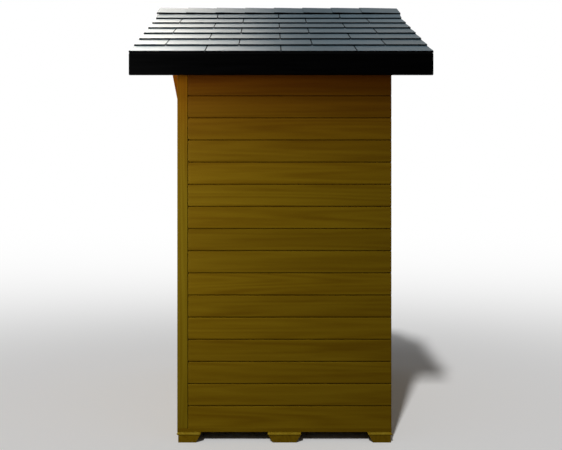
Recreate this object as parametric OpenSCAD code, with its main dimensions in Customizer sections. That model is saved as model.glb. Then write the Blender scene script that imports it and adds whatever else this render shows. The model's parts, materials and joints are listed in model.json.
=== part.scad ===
// Outdoor sauna: a timber-clad garden cabin on three cross bearers, under a
// shingled gable roof.
// Frame: millimetres, +Z up, the door faces -Y, the side walls face +X and -X.
// The origin is on the ground, in the middle of the roof.

/* [Cabin] */
// Width of the cabin over the side cladding
cabin_w = 2180; // [1800:10:2800]
// Length of the cabin, from the front posts to the rear cladding
cabin_l = 1160; // [1000:10:2200]
// Height of the side walls, from the floor deck to the eave purlins
side_wall_h = 1940; // [1610:1:2400]

/* [Walls] */
// Thickness of the outer cladding
cladding_t = 20; // [15:1:30]
// Thickness of the wall frame with its lining
wall_frame_t = 50; // [40:1:90]
// Width of a front corner post, along the side wall
post_w = 56; // [45:1:90]
// Set-back of the front cladding behind the face of the posts
front_setback = 14; // [13:1:20]

/* [Base] */
// Thickness of the floor deck
floor_t = 20; // [15:1:40]
// Height of a bearer block
bearer_h = 40; // [30:1:90]
// Thickness of the plate on a bearer
bearer_plate_t = 10; // [6:1:20]
// Width of the front and rear bearer plates
end_bearer_w = 130; // [110:2:180]
// Width of the middle bearer plate
middle_bearer_w = 180; // [140:2:220]
// How far the bearers run past each side wall
bearer_overhang = 30; // [10:5:60]
// How far a block's inner side slants back towards its foot
bearer_slant = 24; // [0:1:40]
// Set-back of a block under the inner edge of its plate
bearer_lip = 3; // [0:1:10]
// Set-back of an end block under the outer edge of its plate
bearer_end_lip = 8; // [0:1:15]

/* [Door] */
// Width of the doorway in the front wall
doorway_w = 760; // [630:2:1000]
// Height of the doorway above the floor deck
doorway_h = 1920; // [1600:10:2000]
// Thickness of the door lining at the sides and head
door_lining_t = 40; // [30:1:60]
// Thickness of the door leaf
door_leaf_t = 38; // [30:1:44]
// Running gap between the door leaf and its lining
door_gap = 3; // [2:0.5:6]
// Thickness of the threshold
threshold_t = 20; // [15:1:30]
// Width of the casing boards around the doorway
casing_w = 60; // [45:1:90]
// Thickness of the casing boards
casing_t = 12; // [10:1:13]
// Length of the pull handle
handle_l = 420; // [300:10:600]
// Height of the middle of the pull handle above the floor deck
handle_z = 960; // [850:10:1100]
// Clear finger gap between the pull handle and the door leaf
handle_gap = 34; // [28:1:45]
// Width and depth of the pull handle's bar
handle_bar = 28; // [22:1:40]

/* [Roof] */
// Pitch of the roof, in degrees
roof_pitch = 24; // [18:1:32]
// Overhang of the roof past the side walls, to the face of the fascia
eave_overhang = 125; // [80:5:250]
// Overhang of the roof in front of the posts
front_overhang = 240; // [120:5:400]
// Overhang of the roof behind the rear wall
rear_overhang = 200; // [120:5:400]
// Thickness of the roof deck boards
roof_deck_t = 18; // [15:1:28]
// Thickness of the shingle covering
covering_t = 14; // [10:1:20]
// Depth of the eave fascia below the covering at its outer face
fascia_h = 110; // [80:1:160]
// Thickness of the eave fascia
fascia_t = 22; // [18:1:30]
// Width of each side of the ridge cap, along the slope
ridge_cap_w = 175; // [120:5:250]
// Thickness of the ridge cap
ridge_cap_t = 24; // [10:1:30]
// How far the ridge cap runs past each end of the roof
ridge_cap_overhang = 6; // [0:1:15]
// Width of the ridge beam
ridge_beam_w = 70; // [50:2:120]
// Depth of the ridge beam at its middle
ridge_beam_h = 150; // [100:5:220]
// How far the ridge beam and the purlins stop short of the roof's ends
beam_setback = 20; // [0:5:80]

/* [Hidden] */
// What is drawn: every node, or one by its name

// Heights
floor_bottom = bearer_h + bearer_plate_t;
floor_top = floor_bottom + floor_t;
side_wall_top = floor_top + side_wall_h;
doorway_top = floor_top + doorway_h;

// Places along the cabin: the roof is centred on the origin
roof_l = front_overhang + cabin_l + rear_overhang;
roof_front = -roof_l / 2;
roof_rear = roof_l / 2;
cabin_front = roof_front + front_overhang;
cabin_rear = roof_rear - rear_overhang;
cabin_middle = (cabin_front + cabin_rear) / 2;
post_back = cabin_front + post_w;

// Front and rear walls, from the outside in
front_cladding_face = cabin_front + front_setback;
front_frame_face = front_cladding_face + cladding_t;
front_wall_inside = front_frame_face + wall_frame_t;
rear_frame_face = cabin_rear - cladding_t;
rear_wall_inside = rear_frame_face - wall_frame_t;

// Right side wall, from the outside in; the left one mirrors it
side_face = cabin_w / 2;
side_frame_face = side_face - cladding_t;
side_inside = side_frame_face - wall_frame_t;

// Roof planes. The deck's underside meets the outer edge of the purlins.
eave_x = side_face + eave_overhang;
roof_rise = tan(roof_pitch);
deck_drop = roof_deck_t / cos(roof_pitch);
covering_drop = covering_t / cos(roof_pitch);
purlin_edge_h = 96;
function deck_under(x) = side_wall_top + purlin_edge_h + (side_face - abs(x)) * roof_rise;
function deck_over(x) = deck_under(x) + deck_drop;
function covering_over(x) = deck_over(x) + covering_drop;
fascia_bottom = deck_over(eave_x) - fascia_h;
ridge_cap_half = ridge_cap_w * cos(roof_pitch);
ridge_cap_rise = ridge_cap_t / cos(roof_pitch);
ridge_beam_bottom = deck_under(0) - ridge_beam_h;

// Doorway
doorway_side = doorway_w / 2;
lining_side = doorway_side - door_lining_t;
lining_head = doorway_top - door_lining_t;
threshold_top = floor_top + threshold_t;
threshold_nose = 10;
casing_cover = 20;
casing_inner = doorway_side - casing_cover;
casing_outer = casing_inner + casing_w;
casing_head = doorway_top - casing_cover;
stop_t = 12;
stop_gap = 2;
leaf_back = front_cladding_face + door_leaf_t;
leaf_side = lining_side - door_gap;
leaf_bottom = threshold_top + door_gap;
leaf_top = lining_head - door_gap;

// Door furniture
hinge_count = 3;
hinge_l = 90;
hinge_plate_t = 3;
hinge_leaf_w = 34;
hinge_frame_w = 17;
hinge_knuckle_r = 7;
hinge_end_space = 210;
handle_x = -leaf_side + 75;
handle_standoff_h = 32;
handle_standoff_inset = 30;

// Colours
wood_stain = [0.45, 0.34, 0.06];
raw_timber = [0.80, 0.66, 0.44];
black_paint = [0.03, 0.03, 0.03];
shingle_grey = [0.34, 0.38, 0.41];
steel = [0.55, 0.55, 0.56];

// Extrudes a profile drawn in X and Z from y0 to y1
module along_y(y0, y1) {
    translate([0, y1, 0]) rotate([90, 0, 0]) linear_extrude(y1 - y0) children();
}

// Extrudes a profile drawn in Y and Z from x0 to x1
module along_x(x0, x1) {
    translate([x0, 0, 0]) rotate([90, 0, 90]) linear_extrude(x1 - x0) children();
}

// Box between two opposite corners
module box(low, high) {
    translate(low) cube(high - low);
}

// Draws a right-hand piece on the right (1) or mirrored to the left (-1)
module on_side(side) {
    if (side > 0) children();
    else mirror([1, 0, 0]) children();
}

// Bearer block under an end plate. Its outer side is upright and its inner
// side, at the distance plate_w, slants back towards the ground.
module end_block_profile(plate_w) {
    polygon([
        [bearer_end_lip, 0],
        [plate_w - bearer_lip - bearer_slant, 0],
        [plate_w - bearer_lip, bearer_h],
        [bearer_end_lip, bearer_h]
    ]);
}

module bearer_block_end(outer_y, inward) {
    color(wood_stain)
        translate([0, outer_y, 0])
            mirror([0, inward < 0 ? 1 : 0, 0])
                along_x(-side_face - bearer_overhang, side_face + bearer_overhang)
                    end_block_profile(end_bearer_w);
}

module bearer_block_middle() {
    top = middle_bearer_w / 2 - bearer_lip;
    color(wood_stain)
        translate([0, cabin_middle, 0])
            along_x(-side_face - bearer_overhang, side_face + bearer_overhang)
                polygon([
                    [-top + bearer_slant, 0], [top - bearer_slant, 0],
                    [top, bearer_h], [-top, bearer_h]
                ]);
}

module bearer_plate(y0, y1) {
    color(wood_stain)
        box([-side_face - bearer_overhang, y0, bearer_h],
            [side_face + bearer_overhang, y1, floor_bottom]);
}

module floor_deck() {
    color(wood_stain)
        box([-side_face, cabin_front, floor_bottom], [side_face, cabin_rear, floor_top]);
}

module side_wall_frame(side) {
    color(raw_timber) on_side(side)
        box([side_inside, post_back, floor_top],
            [side_frame_face, rear_frame_face, side_wall_top]);
}

module side_cladding(side) {
    color(wood_stain) on_side(side)
        box([side_frame_face, post_back, floor_top],
            [side_face, cabin_rear, side_wall_top]);
}

// Gable outline between two places across the cabin, from z0 up to the deck
module gable_profile(x0, x1, z0) {
    ridge = (x0 < 0 && x1 > 0) ? [[0, deck_under(0)]] : [];
    polygon(concat(
        [[x0, z0], [x1, z0], [x1, deck_under(x1)]], ridge, [[x0, deck_under(x0)]]
    ));
}

// Notch that the ridge beam passes through
module ridge_beam_notch() {
    translate([-ridge_beam_w / 2, ridge_beam_bottom])
        square([ridge_beam_w, ridge_beam_h + deck_drop]);
}

module rear_wall_frame() {
    color(raw_timber)
        along_y(rear_wall_inside, rear_frame_face)
            difference() {
                gable_profile(-side_inside, side_inside, floor_top);
                ridge_beam_notch();
            }
}

// The rear boards reach behind the side cladding up to the purlins, and run
// between the purlins above them.
module rear_cladding() {
    color(wood_stain)
        along_y(rear_frame_face, cabin_rear)
            difference() {
                union() {
                    gable_profile(-side_inside, side_inside, floor_top);
                    translate([-side_frame_face, floor_top])
                        square([2 * side_frame_face, side_wall_h]);
                }
                ridge_beam_notch();
            }
}

// A front wall layer beside the doorway, on one side
module front_layer_beside(side, y0, y1) {
    on_side(side) along_y(y0, y1) gable_profile(doorway_side, side_inside, floor_top);
}

// A front wall layer over the doorway
module front_layer_over(y0, y1) {
    along_y(y0, y1)
        difference() {
            gable_profile(-doorway_side, doorway_side, doorway_top);
            ridge_beam_notch();
        }
}

module front_wall_frame_beside(side) {
    color(raw_timber) front_layer_beside(side, front_frame_face, front_wall_inside);
}

module front_cladding_beside(side) {
    color(wood_stain) front_layer_beside(side, front_cladding_face, front_frame_face);
}

module front_wall_frame_over_door() {
    color(raw_timber) front_layer_over(front_frame_face, front_wall_inside);
}

module front_cladding_over_door() {
    color(wood_stain) front_layer_over(front_cladding_face, front_frame_face);
}

module front_post(side) {
    color(wood_stain) on_side(side)
        box([side_inside, cabin_front, floor_top], [side_face, post_back, side_wall_top]);
}

// Lining, stop and casing board at one side of the doorway
module door_frame_side(side) {
    color(wood_stain) on_side(side) {
        box([lining_side, front_cladding_face, floor_top],
            [doorway_side, front_wall_inside, doorway_top]);
        box([lining_side - stop_t, leaf_back + stop_gap, threshold_top],
            [lining_side, front_wall_inside, lining_head]);
        box([casing_inner, front_cladding_face - casing_t, floor_top],
            [casing_outer, front_cladding_face, casing_head]);
    }
}

// Lining, stop and casing board at the head of the doorway
module door_frame_head() {
    color(wood_stain) {
        box([-lining_side, front_cladding_face, lining_head],
            [lining_side, front_wall_inside, doorway_top]);
        box([-lining_side + stop_t, leaf_back + stop_gap, lining_head - stop_t],
            [lining_side - stop_t, front_wall_inside, lining_head]);
        box([-casing_outer, front_cladding_face - casing_t, casing_head],
            [casing_outer, front_cladding_face, casing_head + casing_w]);
    }
}

module door_threshold() {
    color(wood_stain)
        box([-lining_side, front_cladding_face - threshold_nose, floor_top],
            [lining_side, front_wall_inside, threshold_top]);
}

module door_leaf() {
    color(wood_stain)
        box([-leaf_side, front_cladding_face, leaf_bottom], [leaf_side, leaf_back, leaf_top]);
}

// One butt hinge, lapped on the faces of the leaf and the lining, centred at z
module door_hinge(z) {
    pin_x = leaf_side + door_gap / 2;
    translate([pin_x, front_cladding_face, z - hinge_l / 2]) {
        translate([-hinge_leaf_w, -hinge_plate_t, 0])
            cube([hinge_leaf_w + hinge_frame_w, hinge_plate_t, hinge_l]);
        translate([0, -hinge_knuckle_r, 0]) cylinder(r = hinge_knuckle_r, h = hinge_l);
    }
}

module door_hinges() {
    low = leaf_bottom + hinge_end_space;
    high = leaf_top - hinge_end_space;
    color(steel)
        for (i = [0 : hinge_count - 1])
            door_hinge(low + (high - low) * i / (hinge_count - 1));
}

module door_handle_bar() {
    bottom = floor_top + handle_z - handle_l / 2;
    back = front_cladding_face - handle_gap;
    color(wood_stain)
        box([handle_x - handle_bar / 2, back - handle_bar, bottom],
            [handle_x + handle_bar / 2, back, bottom + handle_l]);
}

module door_handle_standoffs() {
    middle = floor_top + handle_z;
    reach = handle_l / 2 - handle_standoff_inset - handle_standoff_h;
    color(wood_stain)
        for (z = [middle - reach - handle_standoff_h, middle + reach])
            box([handle_x - handle_bar / 2, front_cladding_face - handle_gap, z],
                [handle_x + handle_bar / 2, front_cladding_face, z + handle_standoff_h]);
}

module ridge_beam() {
    half = ridge_beam_w / 2;
    color(wood_stain)
        along_y(roof_front + beam_setback, roof_rear - beam_setback)
            polygon([
                [-half, ridge_beam_bottom], [half, ridge_beam_bottom],
                [half, deck_under(half)], [0, deck_under(0)], [-half, deck_under(half)]
            ]);
}

module eave_purlin(side) {
    color(wood_stain) on_side(side)
        along_y(roof_front + beam_setback, roof_rear - beam_setback)
            polygon([
                [side_inside, side_wall_top], [side_face, side_wall_top],
                [side_face, deck_under(side_face)], [side_inside, deck_under(side_inside)]
            ]);
}

module roof_deck(side) {
    edge = eave_x - fascia_t;
    color(wood_stain) on_side(side)
        along_y(roof_front, roof_rear)
            polygon([
                [0, deck_under(0)], [edge, deck_under(edge)],
                [edge, deck_over(edge)], [0, deck_over(0)]
            ]);
}

module roof_covering(side) {
    color(shingle_grey) on_side(side)
        along_y(roof_front, roof_rear)
            polygon([
                [0, deck_over(0)], [eave_x, deck_over(eave_x)],
                [eave_x, covering_over(eave_x)], [0, covering_over(0)]
            ]);
}

module ridge_cap() {
    half = ridge_cap_half;
    top_half = half + ridge_cap_t * sin(roof_pitch);
    crest = covering_over(0) + ridge_cap_rise;
    color(shingle_grey)
        along_y(roof_front - ridge_cap_overhang, roof_rear + ridge_cap_overhang)
            polygon([
                [0, covering_over(0)], [half, covering_over(half)],
                [top_half, crest - top_half * roof_rise], [0, crest],
                [-top_half, crest - top_half * roof_rise], [-half, covering_over(half)]
            ]);
}

module eave_fascia(side) {
    back = eave_x - fascia_t;
    color(black_paint) on_side(side)
        along_y(roof_front, roof_rear)
            polygon([
                [back, fascia_bottom], [eave_x, fascia_bottom],
                [eave_x, deck_over(eave_x)], [back, deck_over(back)]
            ]);
}

bearer_block_end(cabin_front, 1);  // bearer_front
bearer_block_middle();  // bearer_middle
bearer_block_end(cabin_rear, -1);  // bearer_rear
bearer_plate(cabin_front, cabin_front + end_bearer_w);  // bearer_plate_front
bearer_plate(cabin_middle - middle_bearer_w / 2, cabin_middle + middle_bearer_w / 2);  // bearer_plate_middle
bearer_plate(cabin_rear - end_bearer_w, cabin_rear);  // bearer_plate_rear
floor_deck();
side_wall_frame(1);  // right_wall_frame
side_wall_frame(-1);  // left_wall_frame
rear_wall_frame();
front_wall_frame_beside(1);  // front_wall_frame_right
front_wall_frame_beside(-1);  // front_wall_frame_left
front_wall_frame_over_door();
side_cladding(1);  // right_cladding
side_cladding(-1);  // left_cladding
rear_cladding();
front_cladding_beside(1);  // front_cladding_right
front_cladding_beside(-1);  // front_cladding_left
front_cladding_over_door();
front_post(1);  // front_post_right
front_post(-1);  // front_post_left
door_frame_side(1);  // door_frame_right
door_frame_side(-1);  // door_frame_left
door_frame_head();
door_threshold();
door_leaf();
door_hinges();
door_handle_bar();
door_handle_standoffs();
ridge_beam();
eave_purlin(1);  // eave_purlin_right
eave_purlin(-1);  // eave_purlin_left
roof_deck(1);  // roof_deck_right
roof_deck(-1);  // roof_deck_left
roof_covering(1);  // roof_covering_right
roof_covering(-1);  // roof_covering_left
ridge_cap();
eave_fascia(1);  // eave_fascia_right
eave_fascia(-1);  // eave_fascia_left
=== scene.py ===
import json
import math
import random

import bmesh
import bpy
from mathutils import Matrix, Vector

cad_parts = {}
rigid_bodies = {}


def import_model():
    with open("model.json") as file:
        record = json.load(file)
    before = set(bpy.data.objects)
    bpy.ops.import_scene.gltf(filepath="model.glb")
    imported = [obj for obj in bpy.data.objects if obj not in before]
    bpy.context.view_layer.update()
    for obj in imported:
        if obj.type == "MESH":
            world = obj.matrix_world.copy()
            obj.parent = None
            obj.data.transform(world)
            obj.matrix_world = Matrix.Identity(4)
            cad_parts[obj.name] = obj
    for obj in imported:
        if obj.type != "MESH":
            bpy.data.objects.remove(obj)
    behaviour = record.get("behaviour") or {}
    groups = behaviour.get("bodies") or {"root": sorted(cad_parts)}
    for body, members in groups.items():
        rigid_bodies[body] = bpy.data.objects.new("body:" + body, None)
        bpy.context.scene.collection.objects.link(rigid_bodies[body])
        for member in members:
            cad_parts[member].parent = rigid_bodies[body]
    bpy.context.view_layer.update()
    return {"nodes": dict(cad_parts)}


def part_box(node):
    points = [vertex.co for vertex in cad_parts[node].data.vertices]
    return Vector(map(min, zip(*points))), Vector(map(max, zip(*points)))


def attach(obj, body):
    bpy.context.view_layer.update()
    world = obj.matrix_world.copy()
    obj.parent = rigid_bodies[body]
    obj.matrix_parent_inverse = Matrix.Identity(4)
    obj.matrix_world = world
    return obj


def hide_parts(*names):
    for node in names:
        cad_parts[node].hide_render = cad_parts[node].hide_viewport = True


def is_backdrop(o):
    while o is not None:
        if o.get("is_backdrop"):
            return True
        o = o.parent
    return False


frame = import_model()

# Outdoor sauna: every visible board, shingle and fitting, in metres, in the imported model's frame.
# The door faces -Y and the side walls face +X and -X. Angles are in degrees.

# Boards
BOARD_COVER = 0.120       # height of one wall board with its joint
BOARD_GAP = 0.0022        # open joint between two wall boards
BOARD_CHAMFER = 0.0060    # rounding of each wall board's edges
BOARD_ROUNDS = 3          # segments of that rounding
LOWEST_BOARD = 0.001      # a strip of wall lower than this gets no board
TONGUE_H = 0.016          # tongue that closes the joint between two wall boards
TONGUE_SETBACK = 0.008    # depth of the joint in front of its tongue
TONGUE_END = 0.0005       # a tongue ends this far before the rear corner
FLOOR_BOARD = 0.109       # width of one floor board
FLOOR_EDGE = 0.0008       # bevel of the floor boards
SOFFIT_BOARD = 0.100      # width of one roof board, along the slope
SOFFIT_EDGE = 0.0025      # bevel of the roof boards
SOFFIT_SPLIT = 0.0004     # the roof boards stop this far from the ridge's middle
SAWN_EDGE = 0.002         # bevel of plain sawn timber
BEARER_EDGE = 0.001       # bevel of the bearers
BEARER_SETBACK = 0.004    # a bearer's ends lie this far behind the ends of its plate
PLATE_EDGE = 0.0045       # rounding of the bearer plates
PLATE_ROUNDS = 3          # segments of that rounding
FASCIA_EDGE = 0.0010      # bevel of the eave boards
POST_EDGE = 0.0015        # bevel of the corner posts
BEAM_EDGE = 0.004         # bevel of the beams and purlins
END_GAP = 0.0020          # gap between a board's end and what it butts against

# Door
STILE_W = 0.092           # upright of the door leaf
RAIL_H = 0.120            # cross rail of the door leaf
RAIL_GAP = 0.0004         # gap between a rail and the stile beside it
PLANED_EDGE = 0.003       # bevel of the stiles, the rails and the threshold
PANEL_SETBACK = 0.009     # the leaf's boards lie this far behind its frame
PANEL_BACK = 0.010        # and this far in front of its back
PANEL_BOARDS = 5
HANDLE_EDGE = 0.010       # rounding of the handle bar
HANDLE_ROUNDS = 5         # segments of that rounding

# Hinges
HINGE_APART = 0.2         # heights further apart than this belong to two hinges
HINGE_T = 0.003           # thickness of a hinge leaf
HINGE_EDGE = 0.0008       # bevel of a hinge leaf
PIN_OUTSIDE = 0.0015      # distance of the hinge pin from the door leaf's edge
PIN_CLEARANCE = 0.003     # distance of a hinge leaf from the middle of the pin
KNUCKLES = 5
KNUCKLE_R = 0.007
KNUCKLE_GAP = 0.001       # gap between two knuckles
KNUCKLE_EDGE = 0.0006     # bevel of a knuckle
KNUCKLE_SIDES = 24
SCREWS = 3                # screws in each hinge leaf
SCREW_INSET = 0.012       # distance of the screws from the edge of the leaf on the door
SCREW_INSET_FRAME = 0.0055   # the same for the narrower leaf on the frame
SCREW_R = 0.0036          # radius of a screw head
SCREW_HEAD = 0.0010       # thickness of a screw head
SCREW_SUNK = 0.0004       # part of that thickness inside the hinge leaf
SCREW_EDGE = 0.0004       # bevel of a screw head
SCREW_SIDES = 18
PLATE_TONE = 0.2          # tone of the hinge leaves
SCREW_TONE = 0.6          # tone of the screws
KNUCKLE_TONES = 0.1       # step in tone from one knuckle to the next

# Roof
COURSES = 7
EXPOSURE = 0.1644         # visible depth of one shingle course, measured level
TAB_W = 0.400             # width of one shingle
TAB_GAP = 0.0060          # slot between two shingles
SHORTEST_TAB = 0.010      # a strip shorter than this isn't cut off as a shingle of its own
ODD_JOINT = 0.172         # first joint of every second course, from the front edge
BUTT_T = 0.0084           # thickness of a shingle at its lower edge
COURSE_LAP = 0.030        # how far a shingle runs under the course above
RIDGE_SPLIT = 0.001       # the two slopes' shingles stop this far from the ridge's middle
UNDERLAY_T = 0.004        # felt under the shingles
UNDERLAY_SETBACK = 0.003  # the felt ends this far inside the roof's ends
SHADED_CUT_SLANT = 0.7           # a shingle's faces that look less far upwards than this get the black of the cut edges, which is also painted shade on faces turned from the light

# Ridge cap
CAP_PIECES = 8
CAP_EXPOSURE = 0.194      # visible length of one ridge cap piece
CAP_LAP = 0.060           # how far a cap piece runs under the next one
CAP_T = 0.010
CAP_SETBACK = 0.010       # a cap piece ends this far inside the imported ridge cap
CAP_CLEARANCE = 0.0004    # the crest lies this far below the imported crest
CAP_TILT = 0.009          # the top course rises this much to meet the cap
CAP_STEP = 0.005          # a cap piece's front end is this much higher than its rear end
CAP_FLARE = 0.037         # the cap's sides fall this much more steeply than the roof
CAP_FOLD_R = 0.022        # outer radius of the fold along the crest
CAP_FOLD_PARTS = 8        # segments of that fold
CAP_TONES = (0.5, 1.0)    # range of the cap pieces' tones
BED_RISE = 0.009          # the bed under the cap is this much higher than the covering
BED_DEPTH = 0.004         # and reaches this far down into it
BED_INSET = 0.030         # the bed's edges lie this far inside the cap's
BED_SETBACK = 0.002       # its ends lie this far inside the roof's ends

# Meshes
SHARP = 12                # edges that turn more than this are bevelled
SMOOTH_CAP = 30           # the cap's faces that turn less than this are shaded as one
SMOOTH_HINGE = 40         # the same for the hinges
SAME_CORNER = 1e-5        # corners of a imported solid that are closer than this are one
SAME_PLACE = 1e-4         # corners of a packed slope within this are in the same line
FLAT = 1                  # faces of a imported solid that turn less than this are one
SEED = 852

# Stain, with painted shade and painted light
GRAIN_STRETCH = {"x": (1.1, 26.0, 26.0), "y": (26.0, 1.1, 26.0), "z": (26.0, 26.0, 1.1)}
TONE_SHIFT = (11.3, 7.9, 5.7)           # shift of the pattern between the tones 0 and 1
RING_DENSITY = 70.0                     # how closely the growth rings follow each other
BOARD_TONES = (0.90, 1.07)              # darkest and lightest board
SHINGLE_TONES = (0.86, 1.14)            # darkest and lightest shingle
STAIN_LIGHT = (0.113, 0.068, 0.0020)
STAIN_MIDDLE = (0.098, 0.0565, 0.0012)
STAIN_DARK = (0.080, 0.0425, 0.0005)
EAVE_PAINTED_SHADE = (0.60, 0.21, 0.02)       # painted shade: the boards' stain made darker and more orange close under the eaves, for the eave's shadow and the warm light bounced there
POST_EAVE_PAINTED_SHADE = (1.15, 0.55, 0.05)  # the same painted shade on the posts, weaker since they get more light
PAINTED_SHADE_START = 1.20                      # the painted shade starts at this height
EAVE_HEIGHT = 2.02                      # and is at full strength at this one
PAINTED_SHADE_CURVE = 2.0                     # power of the painted shade's rise over the height
NO_TINT = (1.0, 1.0, 1.0)
POST_TINT = (1.05, 1.16, 1.5)           # the posts are a little greener than the boards
SOFFIT_PAINTED_BOUNCE = (2.9, 1.45, 1.0)          # painted light: the roof boards' undersides made bright orange, for the warm light bounced up onto them
PLATE_PAINTED_HIGHLIGHT = (1.3, 1.5, 4.0)            # painted highlight: the bearer plates made paler, for the key light on their tops
TONGUE_PAINTED_SHADE = (0.35, 0.22, 0.10)        # painted shade: the tongues in the joints made dark, for the shade deep in the joints

# Camera, with its lens and sensor in millimetres
CAMERA_PLACE = (5.267, -0.0635, 1.170)
SENSOR_W = 36.0
LENS = 49.45
SHIFT_X = 0.02135
CLIP_END = 400.0

# Studio floor
FLOOR_RADIUS = 150.0
FLOOR_SIDES = 96
FLOOR_GREY = 0.94         # brightness of the floor as the camera sees it
FLOOR_BOUNCE = 0.42       # reflectance of the floor for the light that it throws back
FADE_START = 1.9          # the floor is plain up to this distance from the building
FADE_HALF = 4.5           # and half faded to white this much further out
FADE_POWER = 1.85

# Light
AMBIENT = 0.15            # even light from all round
KEY_AZIMUTH = 15          # turn of the key light from +X towards -Y
KEY_ELEVATIONS = (41.6, 44.0, 46.4, 48.8)
KEY_STRENGTH = 2.1        # all the key suns together
KEY_SPREAD = 2.8          # width of each
WALL_KEY_ELEVATION = 43
WALL_KEY_STRENGTH = 0.9
WALL_KEY_SPREAD = 5.5
FULL_KEY = ("shingles", "ridge", "felt", "bearer_plate")   # pieces under the full key, by name
SOFTBOXES = (             # name, place, target, width and height, watts
    ("left_softbox", (2.5, -1.8, 1.75), (1.09, -0.3, 1.4), (0.9, 1.0), 70.0),
    ("front_softbox", (-0.6, -3.6, 1.9), (0.0, -0.5, 1.2), (2.0, 2.0), 90.0),
    ("rear_softbox", (-0.4, 4.2, 2.0), (0.0, 0.6, 1.3), (2.4, 2.4), 110.0),
    ("far_softbox", (-4.6, 0.4, 2.0), (-1.0, 0.0, 1.3), (2.4, 2.4), 110.0),
)
ROOF_PANELS = (           # start and end along Y, and watts on a square metre
    (-3.6, -1.35, 33.0),
    (-1.35, -0.75, 17.0),
    (-0.75, -0.15, 6.6),
    (-0.15, 1.0, 0.3),
    (1.0, 2.8, 1.7),
)
PANEL_H = 4.2
PANEL_X, PANEL_Z = -3.6, 5.0
PANEL_TARGET_X, PANEL_TARGET_Z = 0.5, 2.3
PANEL_TONE = (1.0, 0.955, 0.87)

rng = random.Random(SEED)


# ---------------------------------------------------------------- mesh helpers

class Assembly:
    """Solids collected in one mesh. Each solid has its own tone, a number from 0 to 1."""

    def __init__(self):
        self.mesh = bmesh.new()

    def take(self, solid, bevel=0.0, segments=2, tone=None, square=None):
        """Bevels a solid's edges, gives it its tone and adds it to the mesh. The edges at the
        height named square aren't bevelled."""
        bmesh.ops.recalc_face_normals(solid, faces=solid.faces)
        if bevel:
            sharp = [e for e in solid.edges if e.calc_face_angle(0.0) > math.radians(SHARP)
                     and any(v.co.z != square for v in e.verts)]
            bmesh.ops.bevel(solid, geom=sharp, offset=bevel, segments=segments, profile=0.5,
                            affect="EDGES", clamp_overlap=True)
        layer = solid.verts.layers.float.new("tone")
        value = rng.random() if tone is None else tone
        for vert in solid.verts:
            vert[layer] = value
        part = bpy.data.meshes.new("part")
        solid.to_mesh(part)
        solid.free()
        self.mesh.from_mesh(part)
        bpy.data.meshes.remove(part)

    def piece(self, name, material, slot, nodes=(), smooth=None, cut=None):
        """Makes the piece, which rides on the building and stands for the named nodes.
        Faces that don't look upwards get the material named cut, if there is one: black cut edges, also
        used as painted shade."""
        mesh = bpy.data.meshes.new(name)
        self.mesh.to_mesh(mesh)
        self.mesh.free()
        if smooth is not None:
            mesh.polygons.foreach_set("use_smooth", [True] * len(mesh.polygons))
            mesh.set_sharp_from_angle(angle=math.radians(smooth))
        mesh.materials.append(material)
        if cut:
            mesh.materials.append(cut)
            for polygon in mesh.polygons:
                polygon.material_index = int(polygon.normal.z < SHADED_CUT_SLANT)
        obj = bpy.data.objects.new(name, mesh)
        bpy.context.scene.collection.objects.link(obj)
        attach(obj, "root")
        if nodes:
            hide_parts(*nodes)


def prism(outline, axis, start, end):
    """Solid with a flat outline, swept along an axis. The outline's two numbers are the
    other two axes in the order X, Y, Z."""
    place = {
        "x": lambda a, b, t: (t, a, b),
        "y": lambda a, b, t: (a, t, b),
        "z": lambda a, b, t: (a, b, t),
    }[axis]
    bm = bmesh.new()
    first = [bm.verts.new(place(a, b, start)) for a, b in outline]
    last = [bm.verts.new(place(a, b, end)) for a, b in outline]
    bm.faces.new(first)
    bm.faces.new(reversed(last))
    count = len(outline)
    for i in range(count):
        j = (i + 1) % count
        bm.faces.new((first[i], first[j], last[j], last[i]))
    return bm


def block(low, high):
    """Box between two corners."""
    outline = [(low[0], low[1]), (high[0], low[1]), (high[0], high[1]), (low[0], high[1])]
    return prism(outline, "z", low[2], high[2])


def disc(centre, radius, depth, axis, sides):
    """Short round bar that starts at centre and runs along an axis by depth."""
    index = "xyz".index(axis)
    a, b = [centre[i] for i in range(3) if i != index]
    turn = 2 * math.pi / sides
    ring = [(a + radius * math.cos(turn * i), b + radius * math.sin(turn * i)) for i in range(sides)]
    return prism(ring, axis, centre[index], centre[index] + depth)


def clip(outline, a, b, limit):
    """The part of a convex outline where a * first + b * second is at most limit."""
    kept = []
    for i, here in enumerate(outline):
        after = outline[(i + 1) % len(outline)]
        d0 = a * here[0] + b * here[1] - limit
        d1 = a * after[0] + b * after[1] - limit
        if d0 <= 0:
            kept.append(here)
        if (d0 < 0 < d1) or (d1 < 0 < d0):
            t = d0 / (d0 - d1)
            kept.append((here[0] + t * (after[0] - here[0]), here[1] + t * (after[1] - here[1])))
    return kept


def mirrored(outline, side):
    """The outline on the right (1) or its mirror image on the left (-1)."""
    return [(side * a, b) for a, b in outline]


def cad_shape(node):
    """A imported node's solid as a clean mesh with flat faces, ready to be bevelled."""
    source = frame["nodes"][node].data
    bm = bmesh.new()
    verts = [bm.verts.new(v.co) for v in source.vertices]
    for polygon in source.polygons:
        bm.faces.new([verts[i] for i in polygon.vertices])
    bmesh.ops.remove_doubles(bm, verts=bm.verts, dist=SAME_CORNER)
    bmesh.ops.dissolve_limit(bm, angle_limit=math.radians(FLAT), verts=bm.verts, edges=bm.edges)
    return bm


# ---------------------------------------------------------------- places from the frame

class Slope:
    """A roof surface: its height at the ridge and its fall for each metre to the side."""

    def __init__(self, ridge, fall):
        self.ridge = ridge
        self.fall = fall

    def at(self, x):
        """Height of the surface at a distance from the ridge's middle."""
        return self.ridge - self.fall * abs(x)


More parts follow.
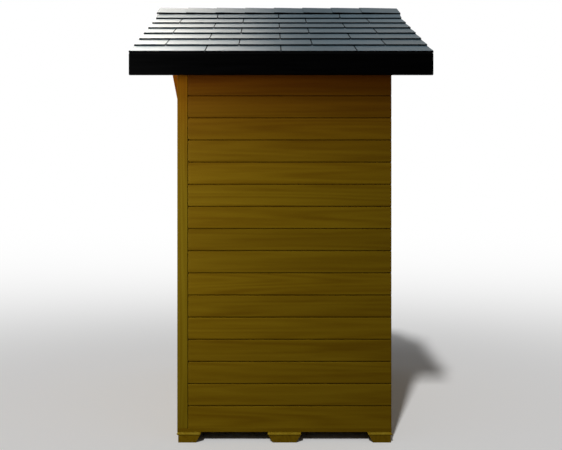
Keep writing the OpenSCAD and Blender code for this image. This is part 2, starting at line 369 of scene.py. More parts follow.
def surface_of(node, highest):
    """Upper or lower surface of a packed roof slope, read from its corners."""
    corners = [v.co for v in frame["nodes"][node].data.vertices]
    pick = max if highest else min
    outer = max(abs(c.x) for c in corners)
    ridge = pick(c.z for c in corners if abs(c.x) < SAME_PLACE)
    eave = pick(c.z for c in corners if abs(c.x) > outer - SAME_PLACE)
    return Slope(ridge, (ridge - eave) / outer)


soffit = surface_of("roof_deck_right", highest=False)
deck_top = surface_of("roof_deck_right", highest=True)
covering_top = surface_of("roof_covering_right", highest=True)
pitch = math.atan(soffit.fall)
covering_t = (covering_top.ridge - deck_top.ridge) * math.cos(pitch)
eave_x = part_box("roof_covering_right")[1].x
ridge_s = (eave_x - RIDGE_SPLIT) / math.cos(pitch)     # length of the slope, from eave to ridge
roof_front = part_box("roof_covering_right")[0].y
roof_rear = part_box("roof_covering_right")[1].y
floor_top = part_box("floor_deck")[1].z
crest_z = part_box("ridge_cap")[1].z
cap_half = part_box("ridge_cap")[1].x - CAP_SETBACK


def courses_between(low, high):
    """Lower and upper edge of each wall board from low to high, counted from the floor."""
    first = round((low - floor_top) / BOARD_COVER)
    z = floor_top + first * BOARD_COVER
    while z < high - LOWEST_BOARD:
        below = BOARD_GAP / 2 if z > floor_top else 0.0
        yield z + below, min(z + BOARD_COVER, high) - BOARD_GAP / 2
        z += BOARD_COVER


# ---------------------------------------------------------------- material helpers

def add(tree, kind, inputs=None, **settings):
    """Adds a shader node. An input is a value or another node's output."""
    made = tree.nodes.new("ShaderNode" + kind)
    for key, value in settings.items():
        setattr(made, key, value)
    for key, value in (inputs or {}).items():
        if isinstance(value, bpy.types.NodeSocket):
            tree.links.new(value, made.inputs[key])
        else:
            made.inputs[key].default_value = value
    return made


def new_material(name):
    """An empty material: its node tree and its output."""
    material = bpy.data.materials.new(name)
    material.use_nodes = True
    material.node_tree.nodes.clear()
    output = add(material.node_tree, "OutputMaterial")
    return material, material.node_tree, output


def finish_material(tree, output, colour, roughness, relief, depth, **values):
    """Principled shader with a bumped surface. Constants are set on its own sockets."""
    bump = add(tree, "Bump", {"Height": relief, "Strength": 1.0, "Distance": depth})
    inputs = {"Base Color": colour, "Roughness": roughness, "Normal": bump.outputs["Normal"]}
    shader = add(tree, "BsdfPrincipled", inputs)
    for key, value in values.items():
        shader.inputs[key.replace("_", " ")].default_value = value
    tree.links.new(shader.outputs["BSDF"], output.inputs["Surface"])


def own_place(tree):
    """Object coordinates."""
    return add(tree, "TexCoord").outputs["Object"]


def own_tone(tree):
    """The solid's tone, from 0 to 1."""
    return add(tree, "Attribute", attribute_name="tone").outputs["Fac"]


def spread_coordinates(tree, stretch):
    """Object coordinates, moved apart from solid to solid by its tone, and stretched."""
    shift = add(tree, "VectorMath", {0: TONE_SHIFT, "Scale": own_tone(tree)}, operation="SCALE")
    moved = add(tree, "VectorMath", {0: own_place(tree), 1: shift.outputs[0]}, operation="ADD")
    stretched = add(tree, "VectorMath", {0: moved.outputs[0], 1: stretch}, operation="MULTIPLY")
    return stretched.outputs[0]


def noise(tree, vector, scale, detail, rough=0.5, distortion=0.0):
    """Noise from 0 to 1 over the vector."""
    inputs = {"Vector": vector, "Scale": scale, "Detail": detail, "Roughness": rough,
              "Distortion": distortion}
    return add(tree, "TexNoise", inputs).outputs["Fac"]


def ramp(tree, value, stops):
    """Colour ramp through (place, colour) stops."""
    made = add(tree, "ValToRGB", {"Fac": value})
    elements = made.color_ramp.elements
    while len(elements) < len(stops):
        elements.new(0.5)
    for element, (place, colour) in zip(elements, stops):
        element.position = place
        element.color = (*colour, 1.0)
    return made.outputs["Color"]


def remap(tree, value, low, high, to_low, to_high):
    """A value from low to high, brought to the range from to_low to to_high."""
    inputs = {"Value": value, "From Min": low, "From Max": high, "To Min": to_low, "To Max": to_high}
    return add(tree, "MapRange", inputs, clamp=True).outputs["Result"]


def blend_colour(tree, factor, first, second, kind="MIX"):
    """Mix of two colours, or their product. Each input is a value or a node's output."""
    made = add(tree, "Mix", data_type="RGBA", blend_type=kind)
    colours = [s for s in made.inputs if s.type == "RGBA"]
    for socket, value in ((made.inputs["Factor"], factor), (colours[0], first), (colours[1], second)):
        if isinstance(value, bpy.types.NodeSocket):
            tree.links.new(value, socket)
        else:
            socket.default_value = value if isinstance(value, float) else (*value, 1.0)
    return next(s for s in made.outputs if s.type == "RGBA")


def mathematics(tree, operation, first, second):
    """One sum on two numbers, each a value or a node's output."""
    return add(tree, "Math", {0: first, 1: second}, operation=operation).outputs[0]


def weighted(tree, *terms):
    """Sum of values, each times its weight."""
    total = 0.0
    for value, weight in terms:
        total = add(tree, "Math", {0: value, 1: weight, 2: total}, operation="MULTIPLY_ADD").outputs[0]
    return total


def grey(tree, level):
    """Colour with the same level of red, green and blue."""
    return add(tree, "CombineColor", {"Red": level, "Green": level, "Blue": level}).outputs["Color"]


def toned(tree, colour, darkest, lightest):
    """The colour made darker or lighter by the solid's tone."""
    brightness = remap(tree, own_tone(tree), 0.0, 1.0, darkest, lightest)
    return blend_colour(tree, 1.0, colour, grey(tree, brightness), "MULTIPLY")


# ---------------------------------------------------------------- materials

def with_painted_eave_shade(tree, colour, tint):
    """The stain's colour with painted shade: darker and more orange towards the eaves, for the eave's
    shadow and the warm light bounced there.
    """
    height = add(tree, "SeparateXYZ", {"Vector": own_place(tree)}).outputs["Z"]
    share = remap(tree, height, PAINTED_SHADE_START, EAVE_HEIGHT, 0.0, 1.0)
    share = mathematics(tree, "POWER", share, PAINTED_SHADE_CURVE)
    tinted = blend_colour(tree, 1.0, colour, tint, "MULTIPLY")
    return blend_colour(tree, share, colour, tinted)


def wood(name, grain, light, middle, dark, eave_shade=None, gloss=0.02):
    """Timber with its grain along one axis: streaks, growth rings, fibres and board tones, with painted
    shade towards the eaves if a tint for it is given.
    """
    material, tree, output = new_material(name)
    vector = spread_coordinates(tree, GRAIN_STRETCH[grain])
    streaks = noise(tree, vector, scale=1.0, detail=4.0, distortion=0.3)
    growth = noise(tree, vector, scale=0.30, detail=1.0)
    layers = mathematics(tree, "MULTIPLY", growth, RING_DENSITY)
    contours = mathematics(tree, "SINE", layers, 0.0)
    rings = remap(tree, contours, -1.0, 1.0, 0.0, 1.0)
    fibres = noise(tree, vector, scale=7.0, detail=3.0, rough=0.6)
    figure = weighted(tree, (streaks, 0.66), (rings, 0.14), (fibres, 0.20))
    colour = ramp(tree, figure, [(0.32, dark), (0.50, middle), (0.68, light)])
    colour = toned(tree, colour, *BOARD_TONES)
    if eave_shade:
        colour = with_painted_eave_shade(tree, colour, eave_shade)
    roughness = remap(tree, figure, 0.2, 0.8, 0.62, 0.48)
    finish_material(tree, output, colour, roughness, figure, depth=0.0004, Specular_IOR_Level=gloss)
    return material


def stained_wood(name, grain, tint=NO_TINT, eave_shade=EAVE_PAINTED_SHADE):
    """The stain in its three tones, changed by a tint, with painted shade towards the eaves unless none is
    given.
    """
    stain = (STAIN_LIGHT, STAIN_MIDDLE, STAIN_DARK)
    tones = [tuple(c * t for c, t in zip(tone, tint)) for tone in stain]
    return wood(name, grain, *tones, eave_shade)


def bare_timber(grain):
    """Pale untreated spruce of the hidden wall frames."""
    light, middle, dark = (0.70, 0.50, 0.27), (0.60, 0.40, 0.20), (0.42, 0.25, 0.10)
    return wood("bare_timber_" + grain, grain, light, middle, dark, gloss=0.3)


def black_paint():
    """Brushed black paint over timber that runs along Y."""
    material, tree, output = new_material("black_paint")
    vector = spread_coordinates(tree, (40.0, 1.5, 40.0))
    strokes = noise(tree, vector, scale=2.0, detail=4.0, rough=0.6)
    colour = ramp(tree, strokes, [(0.3, (0.0001, 0.0001, 0.0001)), (0.7, (0.0005, 0.0005, 0.0006))])
    roughness = remap(tree, strokes, 0.3, 0.7, 0.42, 0.56)
    finish_material(tree, output, colour, roughness, strokes, depth=0.0003, Specular_IOR_Level=0.012)
    return material


def roof_slate(name, brightness, gloss):
    """Dark blue-grey shingle with a soft shine, a fine grit and a tone of its own."""
    material, tree, output = new_material(name)
    vector = spread_coordinates(tree, (1.0, 1.0, 1.0))
    cloud = noise(tree, vector, scale=9.0, detail=4.0, rough=0.6)
    grit = noise(tree, vector, scale=420.0, detail=2.0, rough=0.6)
    colour = ramp(tree, cloud, [(0.25, (0.040, 0.079, 0.106)), (0.75, (0.060, 0.108, 0.142))])
    colour = toned(tree, colour, *(tone * brightness for tone in SHINGLE_TONES))
    roughness = weighted(tree, (cloud, 0.10), (own_tone(tree), 0.05), (0.38, 1.0))
    relief = blend_colour(tree, 0.35, cloud, grit)
    finish_material(tree, output, colour, roughness, relief, depth=0.0006, Specular_IOR_Level=gloss)
    return material


def bitumen(name, tar, dust):
    """Black bitumen, grainy and dull, in two tones."""
    material, tree, output = new_material(name)
    vector = spread_coordinates(tree, (1.0, 1.0, 1.0))
    grit = noise(tree, vector, scale=300.0, detail=3.0, rough=0.7)
    colour = ramp(tree, grit, [(0.3, tar), (0.7, dust)])
    roughness = remap(tree, grit, 0.2, 0.8, 0.8, 0.95)
    finish_material(tree, output, colour, roughness, grit, depth=0.0008, Specular_IOR_Level=0.02)
    return material


def brushed_steel():
    """Stainless steel, brushed upright."""
    material, tree, output = new_material("brushed_steel")
    vector = spread_coordinates(tree, (900.0, 900.0, 14.0))
    lines = noise(tree, vector, scale=1.0, detail=2.0, rough=0.6)
    colour = ramp(tree, lines, [(0.3, (0.24, 0.24, 0.25)), (0.7, (0.34, 0.34, 0.35))])
    roughness = remap(tree, lines, 0.2, 0.8, 0.36, 0.52)
    finish_material(tree, output, colour, roughness, lines, depth=0.00004, Metallic=1.0)
    return material


# Stained wood for boards and posts, with painted shade towards the eaves.
WOOD = {axis: stained_wood("stained_wood_" + axis, axis) for axis in "xyz"}
POST_WOOD = stained_wood("stained_post", "z", POST_TINT, POST_EAVE_PAINTED_SHADE)
# Roof boards' undersides, with painted bounce light.
SOFFIT_PAINTED_LIGHT_WOOD = stained_wood("stained_soffit_painted_light", "y", SOFFIT_PAINTED_BOUNCE, None)
# Bearer plates, made paler as a painted highlight.
PLATE_HIGHLIGHT_WOOD = stained_wood("stained_plate_painted_highlight", "x", PLATE_PAINTED_HIGHLIGHT)
# Tongues, made dark as painted shade in the joints.
TONGUE_SHADE_WOOD = stained_wood("stained_tongue_painted_shade", "y", TONGUE_PAINTED_SHADE)
BARE_WOOD = {axis: bare_timber(axis) for axis in "xy"}
PAINT = black_paint()
SLATE = roof_slate("roof_slate", brightness=1.0, gloss=0.48)
CAP_SLATE = roof_slate("cap_slate", brightness=0.84, gloss=0.25)
FELT = bitumen("underlay_felt", (0.0008, 0.0008, 0.0008), (0.0022, 0.0022, 0.0024))
# Black of the shingles' cut edges, also painted shade on every shingle and cap face that doesn't look
# upwards.
CUT_EDGE_AND_SHADE = bitumen("cut_edge_and_shade", (0.0003, 0.0003, 0.0003), (0.0010, 0.0010, 0.0011))
STEEL = brushed_steel()


# ---------------------------------------------------------------- walls

def take_board(wall, solid):
    """Adds a board with rounded edges to its wall. At the floor its edges stay square."""
    wall.take(solid, BOARD_CHAMFER, BOARD_ROUNDS, square=floor_top)


def side_wall_boards(side_name):
    """Boards of a side wall, from the corner post to the rear corner."""
    node = side_name + "_cladding"
    low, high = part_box(node)
    wall = Assembly()
    tongues = Assembly()
    for z0, z1 in courses_between(low.z, high.z):
        take_board(wall, block((low.x, low.y + END_GAP, z0), (high.x, high.y, z1)))
        if z1 + TONGUE_H < high.z:
            z = z1 + (BOARD_GAP - TONGUE_H) / 2
            start = (low.x + TONGUE_SETBACK, low.y + END_GAP, z)
            end = (high.x - TONGUE_SETBACK, high.y - TONGUE_END, z + TONGUE_H)
            tongues.take(block(start, end))
    wall.piece(side_name + "_wall_boards", WOOD["y"], "stained_wood", [node])
    # The tongues' dark stain is painted shade in the joints.
    tongues.piece(side_name + "_wall_tongues", TONGUE_SHADE_WOOD, "stained_wood")


def gable_board(wall, reach, z0, z1, y0, y1):
    """One board across a gable wall, reaching equally far to both sides, and cut to the roof
    where it meets it."""
    outline = [(-reach, z0), (reach, z0), (reach, z1), (-reach, z1)]
    limit = soffit.ridge - BOARD_GAP
    outline = clip(outline, soffit.fall, 1.0, limit)
    outline = clip(outline, -soffit.fall, 1.0, limit)
    if len(outline) > 2:
        take_board(wall, prism(outline, "y", y0, y1))


def notched_board(wide, narrow, z0, notch, z1):
    """Outline of a board whose upper corners are cut out above the height notch."""
    right = [(wide, z0), (wide, notch), (narrow, notch), (narrow, z1)]
    return right + [(-x, z) for x, z in reversed(right)]


def rear_wall_boards():
    """Boards of the rear wall: between the side boards, and between the purlins above them."""
    low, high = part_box("rear_cladding")
    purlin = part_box("eave_purlin_right")[0]
    wide, narrow = high.x - END_GAP, purlin.x - END_GAP
    wall = Assembly()
    for z0, z1 in courses_between(low.z, high.z):
        if z0 + BOARD_CHAMFER < purlin.z < z1 - BOARD_CHAMFER:
            outline = notched_board(wide, narrow, z0, purlin.z - BOARD_GAP / 2, z1)
            take_board(wall, prism(outline, "y", low.y, high.y))
        else:
            reach = wide if z1 < purlin.z + BOARD_CHAMFER else narrow
            gable_board(wall, reach, z0, z1, low.y, high.y)
    wall.piece("rear_wall_boards", WOOD["x"], "stained_wood", ["rear_cladding"])


def front_boards_beside(side_name):
    """Front boards between the doorway and a corner post."""
    node = "front_cladding_" + side_name
    low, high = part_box(node)
    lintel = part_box("front_cladding_over_door")[0].z
    wall = Assembly()
    for z0, z1 in courses_between(low.z, lintel):
        take_board(wall, block((low.x + END_GAP, low.y, z0), (high.x - END_GAP, high.y, z1)))
    wall.piece("front_boards_" + side_name, WOOD["x"], "stained_wood", [node])


def front_boards_over_door():
    """Front boards over the doorway, each in one length from post to post."""
    low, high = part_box("front_cladding_over_door")
    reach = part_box("front_cladding_right")[1].x - END_GAP
    wall = Assembly()
    for z0, z1 in courses_between(low.z, high.z):
        gable_board(wall, reach, z0, z1, low.y, high.y)
    wall.piece("front_boards_over_door", WOOD["x"], "stained_wood", ["front_cladding_over_door"])


def bare_wall_frames():
    """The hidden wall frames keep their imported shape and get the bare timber."""
    for node, obj in frame["nodes"].items():
        if "wall_frame" in node:
            grain = "y" if node.split("_")[0] in ("left", "right") else "x"
            obj.data.materials.clear()
            obj.data.materials.append(BARE_WOOD[grain])


# ---------------------------------------------------------------- plain timbers and base

def timber(node, grain, bevel, segments=2, material=None):
    """A packed timber with its edges eased."""
    piece = Assembly()
    piece.take(cad_shape(node), bevel, segments)
    piece.piece(node + "_timber", material or WOOD[grain], "stained_wood", [node])


def base_timbers():
    """Bearers across the cabin, each set back behind the ends of its plate."""
    for place in ("front", "middle", "rear"):
        solid = cad_shape("bearer_" + place)
        for vert in solid.verts:
            vert.co.x -= math.copysign(BEARER_SETBACK, vert.co.x)
        bearer = Assembly()
        bearer.take(solid, BEARER_EDGE)
        bearer.piece("bearer_block_" + place, WOOD["x"], "stained_wood", ["bearer_" + place])
        # The plates get the paler wood of the painted highlight.
        timber("bearer_plate_" + place, "x", PLATE_EDGE, PLATE_ROUNDS, PLATE_HIGHLIGHT_WOOD)


def floor_boards():
    """Floor boards along the cabin. The outer ones form the edge strip under the walls."""
    low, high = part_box("floor_deck")
    count = round((high.x - low.x) / FLOOR_BOARD)
    width = (high.x - low.x) / count
    deck = Assembly()
    for i in range(count):
        x0 = low.x + i * width + (BOARD_GAP / 2 if i else 0)
        x1 = low.x + (i + 1) * width - (BOARD_GAP / 2 if i < count - 1 else 0)
        deck.take(block((x0, low.y, low.z), (x1, high.y, high.z)), FLOOR_EDGE)
    deck.piece("floor_boards", WOOD["y"], "stained_wood", ["floor_deck"])


# ---------------------------------------------------------------- door

def door_leaf():
    """Framed leaf: two stiles, three rails and upright boards set back between them."""
    low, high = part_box("door_leaf")
    inner_low = low.x + STILE_W
    inner_high = high.x - STILE_W
    middle = (low.z + high.z - RAIL_H) / 2
    leaf = Assembly()
    for x0 in (low.x, inner_high):
        leaf.take(block((x0, low.y, low.z), (x0 + STILE_W, high.y, high.z)), PLANED_EDGE)
    for z0 in (low.z, middle, high.z - RAIL_H):
        rail = block((inner_low + RAIL_GAP, low.y, z0), (inner_high - RAIL_GAP, high.y, z0 + RAIL_H))
        leaf.take(rail, PLANED_EDGE)
    leaf.piece("door_frame_of_leaf", WOOD["z"], "stained_wood", ["door_leaf"])
    boards = Assembly()
    width = (inner_high - inner_low) / PANEL_BOARDS
    for z0, z1 in ((low.z + RAIL_H, middle), (middle + RAIL_H, high.z - RAIL_H)):
        for i in range(PANEL_BOARDS):
            x0 = inner_low + i * width + BOARD_GAP / 2
            x1 = x0 + width - BOARD_GAP
            solid = block((x0, low.y + PANEL_SETBACK, z0), (x1, high.y - PANEL_BACK, z1))
            boards.take(solid, BOARD_CHAMFER, BOARD_ROUNDS)
    boards.piece("door_boards", WOOD["z"], "stained_wood")


def door_surround():
    """Door frame and threshold."""
    for place in ("right", "left"):
        timber("door_frame_" + place, "z", SAWN_EDGE)
    timber("door_frame_head", "x", SAWN_EDGE)
    timber("door_threshold", "x", PLANED_EDGE)


def hinge_ranges():
    """Lower and upper end of each packed hinge."""
    heights = sorted({round(v.co.z, 5) for v in frame["nodes"]["door_hinges"].data.vertices})
    ends = []
    for z in heights:
        if not ends or z - ends[-1][0] > HINGE_APART:
            ends.append([z, z])
        ends[-1][1] = z
    return ends


def hinge_screws(steel, x, y, z0, length):
    """Round screw heads over each other on a hinge leaf."""
    for i in range(SCREWS):
        z = z0 + length * (i + 0.5) / SCREWS
        head = disc((x, y + SCREW_SUNK, z), SCREW_R, -SCREW_HEAD, "y", SCREW_SIDES)
        steel.take(head, SCREW_EDGE, 1, tone=SCREW_TONE)


def hinges():
    """Butt hinges: two leaves, the knuckles between them, and screws in each leaf."""
    low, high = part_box("door_hinges")
    pin_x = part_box("door_leaf")[1].x + PIN_OUTSIDE
    face_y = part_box("door_leaf")[0].y
    plate_y = face_y - HINGE_T
    steel = Assembly()
    for z0, z1 in hinge_ranges():
        length = z1 - z0
        for x0, x1 in ((low.x, pin_x - PIN_CLEARANCE), (pin_x + PIN_CLEARANCE, high.x)):
            steel.take(block((x0, plate_y, z0), (x1, face_y, z1)), HINGE_EDGE, tone=PLATE_TONE)
        step = length / KNUCKLES
        for i in range(KNUCKLES):
            centre = (pin_x, face_y, z0 + i * step + KNUCKLE_GAP / 2)
            knuckle = disc(centre, KNUCKLE_R, step - KNUCKLE_GAP, "z", KNUCKLE_SIDES)
            steel.take(knuckle, KNUCKLE_EDGE, tone=KNUCKLE_TONES * i)
        hinge_screws(steel, low.x + SCREW_INSET, plate_y, z0, length)
        hinge_screws(steel, high.x - SCREW_INSET_FRAME, plate_y, z0, length)
    steel.piece("door_hinges_detail", STEEL, "hinge_steel", ["door_hinges"], smooth=SMOOTH_HINGE)


def pull_handle():
    """Pull handle: a rounded bar on two blocks."""
    timber("door_handle_bar", "z", HANDLE_EDGE, HANDLE_ROUNDS)
    timber("door_handle_standoffs", "y", SAWN_EDGE)


# ---------------------------------------------------------------- roof

def soffit_boards(side_name, side):
    """Roof boards along the roof, whose undersides show as the soffit."""
    node = "roof_deck_" + side_name
    outer = max(abs(c.x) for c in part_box(node))
    count = round(outer / (SOFFIT_BOARD * math.cos(pitch)))
    width = outer / count
    deck = Assembly()
    for i in range(count):
        x0 = i * width + (BOARD_GAP / 2 if i else SOFFIT_SPLIT)
        x1 = (i + 1) * width - (BOARD_GAP / 2 if i < count - 1 else 0)
        outline = [(x0, soffit.at(x0)), (x1, soffit.at(x1)), (x1, deck_top.at(x1)), (x0, deck_top.at(x0))]
        deck.take(prism(mirrored(outline, side), "y", roof_front, roof_rear), SOFFIT_EDGE)
    deck.piece("soffit_boards_" + side_name, SOFFIT_PAINTED_LIGHT_WOOD, "stained_wood", [node])


def on_slope(s, n):
    """Place (x, z) that is s up the right slope from the eave and n above the deck."""
    x = eave_x - s * math.cos(pitch) + n * math.sin(pitch)
    z = deck_top.at(eave_x) + s * math.sin(pitch) + n * math.cos(pitch)
    return x, z


def within_eave(outline):
    """Cuts an outline off upright at the eave and at the ridge."""
    return clip(clip(outline, 1.0, 0.0, eave_x), -1.0, 0.0, -RIDGE_SPLIT)


def tab_ends(course):
    """Front and rear end of each shingle in a course. The joints break from course to course."""
    joints = [roof_front]
    y = roof_front + (ODD_JOINT if course % 2 else TAB_W)
    while y < roof_rear - SHORTEST_TAB:
        joints.append(y)
        y += TAB_W
    joints.append(roof_rear)
    for i in range(len(joints) - 1):
        start = joints[i] + (TAB_GAP / 2 if i else 0)
        end = joints[i + 1] - (TAB_GAP / 2 if i < len(joints) - 2 else 0)
        yield start, end


def shingle_outline(course):
    """Section of a course on the right slope. It tapers from its butt to its head. The first
    one's butt reaches down to the felt, and the last one rises to meet the cap."""
    exposure = EXPOSURE / math.cos(pitch)
    s0 = course * exposure
    s1 = min(s0 + exposure + COURSE_LAP, ridge_s)
    head = covering_t - BUTT_T / exposure * (s1 - s0)
    foot = covering_t - BUTT_T if course else UNDERLAY_T
    outline = [on_slope(s0, covering_t), on_slope(s0, foot), on_slope(s1, UNDERLAY_T)]
    outline.append(on_slope(s1, head))
    if course == COURSES - 1:
        outline.append(on_slope(ridge_s - cap_half / math.cos(pitch), covering_t + CAP_TILT))
    return within_eave(outline)


def shingles(side_name, side):
    """Courses of shingles over the felt."""
    roof = Assembly()
    for course in range(COURSES):
        outline = mirrored(shingle_outline(course), side)
        for y0, y1 in tab_ends(course):
            roof.take(prism(outline, "y", y0, y1))
    node = "roof_covering_" + side_name
    roof.piece("shingles_" + side_name, SLATE, "roof_shingle", [node], cut=CUT_EDGE_AND_SHADE)


def felt_under_shingles(side_name, side):
    """Felt on the roof boards, which shows in the slots between the shingles."""
    outline = [on_slope(0, 0), on_slope(0, UNDERLAY_T), on_slope(ridge_s, UNDERLAY_T), on_slope(ridge_s, 0)]
    outline = mirrored(within_eave(outline), side)
    felt = Assembly()
    felt.take(prism(outline, "y", roof_front + UNDERLAY_SETBACK, roof_rear - UNDERLAY_SETBACK))
    felt.piece("felt_" + side_name, FELT, "roof_shingle")


def cap_line(apex, half, radius):
    """Points (x, z) across a folded cap, from the right edge over the crest to the left one."""
    fall = soffit.fall + CAP_FLARE
    angle = math.atan(fall)
    centre = apex - radius / math.cos(angle)
    turns = [math.pi / 2 - angle + 2 * angle * i / CAP_FOLD_PARTS for i in range(CAP_FOLD_PARTS + 1)]
    fold = [(radius * math.cos(a), centre + radius * math.sin(a)) for a in turns]
    return [(half, apex - fall * half), *fold, (-half, apex - fall * half)]


def cap_piece(y0, y1, front_apex, rear_apex):
    """One folded ridge cap piece between two ends, each with its own crest height."""
    bm = bmesh.new()
    rings = []
    for y, apex in ((y0, front_apex), (y1, rear_apex)):
        outer = [bm.verts.new((x, y, z)) for x, z in cap_line(apex, cap_half, CAP_FOLD_R)]
        low = apex - CAP_T / math.cos(pitch)
        inner = [bm.verts.new((x, y, z)) for x, z in cap_line(low, cap_half, CAP_FOLD_R - CAP_T)]
        rings.append((outer, inner))
    (outer0, inner0), (outer1, inner1) = rings
    last = len(outer0) - 1
    for i in range(last):
        bm.faces.new((outer0[i], outer0[i + 1], outer1[i + 1], outer1[i]))
        bm.faces.new((inner0[i], inner1[i], inner1[i + 1], inner0[i + 1]))
        for outer, inner in rings:
            bm.faces.new((outer[i], outer[i + 1], inner[i + 1], inner[i]))
    for i in (0, last):
        bm.faces.new((outer0[i], outer1[i], inner1[i], inner0[i]))
    return bm


def ridge_cap():
    """Folded cap pieces along the crest, each lying over the one in front of it."""
    low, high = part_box("ridge_cap")
    fold_loss = CAP_FOLD_R * (1 / math.cos(pitch) - 1)
    apex = crest_z - CAP_CLEARANCE + fold_loss
    cap = Assembly()
    for i in range(CAP_PIECES):
        y0 = low.y + i * CAP_EXPOSURE
        y1 = min(y0 + CAP_EXPOSURE + CAP_LAP, high.y)
        cap.take(cap_piece(y0, y1, apex, apex - CAP_STEP), tone=rng.uniform(*CAP_TONES))
    cap.piece("ridge_cap_pieces", CAP_SLATE, "roof_shingle", ["ridge_cap"], smooth=SMOOTH_CAP,
              cut=CUT_EDGE_AND_SHADE)


def ridge_bed():
    """Hidden bed that fills the space between the slopes under the cap."""
    reach = cap_half - BED_INSET
    edge_z = covering_top.at(reach)
    crest, base = covering_top.ridge + BED_RISE, covering_top.ridge - BED_DEPTH
    bed = Assembly()
    outline = [(reach, edge_z), (0, crest), (-reach, edge_z), (0, base)]
    bed.take(prism(outline, "y", roof_front + BED_SETBACK, roof_rear - BED_SETBACK))
    bed.piece("ridge_bed", SLATE, "roof_shingle")


def fascias():
    """Black eave boards."""
    for place in ("right", "left"):
        board = Assembly()
        board.take(cad_shape("eave_fascia_" + place), FASCIA_EDGE)
        board.piece("fascia_board_" + place, PAINT, "black_fascia", ["eave_fascia_" + place])


def roof_timbers():
    """Ridge beam and eave purlins."""
    timber("ridge_beam", "y", BEAM_EDGE)
    for place in ("right", "left"):
        timber("eave_purlin_" + place, "y", BEAM_EDGE)


# ---------------------------------------------------------------- the building

def build():
    """All pieces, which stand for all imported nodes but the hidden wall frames."""
    for name, side in (("right", 1), ("left", -1)):
        side_wall_boards(name)
        front_boards_beside(name)
        timber("front_post_" + name, "z", POST_EDGE, material=POST_WOOD)
        soffit_boards(name, side)
        shingles(name, side)
        felt_under_shingles(name, side)
    rear_wall_boards()
    front_boards_over_door()
    bare_wall_frames()
    base_timbers()
    floor_boards()
    door_leaf()
    door_surround()
    hinges()
    pull_handle()
    roof_timbers()
    ridge_cap()
    ridge_bed()
    fascias()


# ---------------------------------------------------------------- studio

def camera():
    """Level camera that looks squarely at the right side wall."""
    data = bpy.data.cameras.new("camera")
    data.sensor_width = SENSOR_W
    data.lens = LENS
    data.shift_x = SHIFT_X
    data.clip_end = CLIP_END
    obj = bpy.data.objects.new("camera", data)
    obj.location = CAMERA_PLACE
    obj.rotation_euler = (math.pi / 2, 0.0, math.pi / 2)
    bpy.context.scene.collection.objects.link(obj)
    bpy.context.scene.camera = obj


def floor_finish():
    """Pale floor that fades to the white of the background far from the building."""
    material, tree, output = new_material("studio_floor")
    away = add(tree, "VectorMath", {0: own_place(tree)}, operation="LENGTH").outputs["Value"]
    outside = mathematics(tree, "MAXIMUM", mathematics(tree, "SUBTRACT", away, FADE_START), 0.0)
    ratio = mathematics(tree, "POWER", mathematics(tree, "DIVIDE", outside, FADE_HALF), FADE_POWER)
    share = mathematics(tree, "DIVIDE", ratio, mathematics(tree, "ADD", ratio, 1.0))
    seen = add(tree, "LightPath").outputs["Is Camera Ray"]
    share = mathematics(tree, "MULTIPLY", share, seen)
    level = remap(tree, seen, 0.0, 1.0, FLOOR_BOUNCE, FLOOR_GREY)
    plain = add(tree, "BsdfDiffuse", {"Color": grey(tree, level)})
    white = add(tree, "Emission", {"Color": (1.0, 1.0, 1.0, 1.0), "Strength": 1.0})
    mixed = add(tree, "MixShader", {0: share, 1: plain.outputs[0], 2: white.outputs[0]})
    tree.links.new(mixed.outputs[0], output.inputs["Surface"])
    return material


def studio_floor():
    """Round floor, which reaches far past the building."""
    bm = bmesh.new()
    bmesh.ops.create_circle(bm, cap_ends=True, radius=FLOOR_RADIUS, segments=FLOOR_SIDES)
    mesh = bpy.data.meshes.new("studio_floor")
    bm.to_mesh(mesh)
    bm.free()
    mesh.materials.append(floor_finish())
    obj = bpy.data.objects.new("studio_floor", mesh)
    bpy.context.scene.collection.objects.link(obj)
    obj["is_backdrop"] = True


def world():
    """White background behind the building, and a dim even light from all round."""
    made = bpy.data.worlds.new("studio")
    made.use_nodes = True
    tree = made.node_tree
    tree.nodes.clear()
    seen = add(tree, "LightPath").outputs["Is Camera Ray"]
    level = remap(tree, seen, 0.0, 1.0, AMBIENT, 1.0)
    background = add(tree, "Background", {"Color": (1.0, 1.0, 1.0, 1.0), "Strength": level})
    output = add(tree, "OutputWorld")
    tree.links.new(background.outputs[0], output.inputs["Surface"])
    bpy.context.scene.world = made


def aim(obj, direction):
    """Turns a light so that it shines in a direction."""
    obj.rotation_euler = direction.to_track_quat("-Z", "Y").to_euler()


def sun(name, travel, strength, angle, receivers):
    """Light from far away on the objects of one collection."""
    data = bpy.data.lights.new(name, "SUN")
    data.energy = strength
    data.angle = math.radians(angle)
    obj = bpy.data.objects.new(name, data)
    bpy.context.scene.collection.objects.link(obj)
    aim(obj, Vector(travel))
    obj.light_linking.receiver_collection = receivers


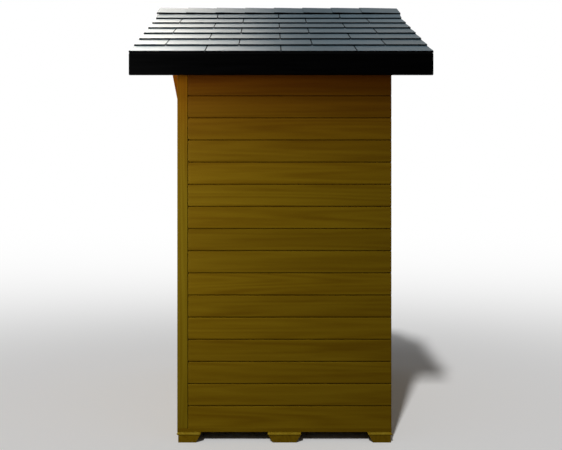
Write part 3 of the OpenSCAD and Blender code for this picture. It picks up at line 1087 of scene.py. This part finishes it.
def softbox(name, place, target, size, energy, receivers):
    """Rectangular light on the objects of one collection."""
    data = bpy.data.lights.new(name, "AREA")
    data.shape = "RECTANGLE"
    data.size, data.size_y = size
    data.energy = energy
    obj = bpy.data.objects.new(name, data)
    obj.location = place
    bpy.context.scene.collection.objects.link(obj)
    aim(obj, Vector(target) - obj.location)
    obj.light_linking.receiver_collection = receivers
    return obj


def group(name, wanted):
    """Collection of the objects that a light reaches."""
    made = bpy.data.collections.new(name)
    for obj in bpy.data.objects:
        if obj.type == "MESH" and wanted(obj):
            made.objects.link(obj)
    return made


def travel_of(elevation):
    """Direction in which the key light travels, for its height in degrees."""
    rise, turn = math.radians(elevation), math.radians(KEY_AZIMUTH)
    return -math.cos(turn) * math.cos(rise), math.sin(turn) * math.cos(rise), -math.sin(rise)


def roof_panels(building):
    """Panels behind the roof, for its shine. They show in reflections and light nothing else."""
    for i, (start, end, brightness) in enumerate(ROOF_PANELS):
        y, width = (start + end) / 2, end - start
        place, target = (PANEL_X, y, PANEL_Z), (PANEL_TARGET_X, y, PANEL_TARGET_Z)
        watts = brightness * width * PANEL_H
        panel = softbox("roof_panel_%d" % i, place, target, (width, PANEL_H), watts, building)
        panel.data.color = PANEL_TONE
        panel.visible_diffuse = False


def studio_light():
    """Soft key from the camera's left and above, softboxes round the building, and the roof's
    panels. The floor, the shingles, the ridge and the bearer plates get the full key. The rest
    gets a weaker one."""
    building = group("lit_building", lambda obj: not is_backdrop(obj))
    walls = group("lit_walls", lambda obj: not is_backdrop(obj) and not obj.name.startswith(FULL_KEY))
    others = group("lit_floor_and_roof", lambda obj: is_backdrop(obj) or obj.name.startswith(FULL_KEY))
    for i, elevation in enumerate(KEY_ELEVATIONS):
        sun("key_%d" % i, travel_of(elevation), KEY_STRENGTH / len(KEY_ELEVATIONS), KEY_SPREAD, others)
    sun("wall_key", travel_of(WALL_KEY_ELEVATION), WALL_KEY_STRENGTH, WALL_KEY_SPREAD, walls)
    for name, place, target, size, watts in SOFTBOXES:
        softbox(name, place, target, size, watts, building)
    roof_panels(building)


camera()
build()
studio_floor()
world()
studio_light()
bpy.context.scene.view_settings.view_transform = "Standard"
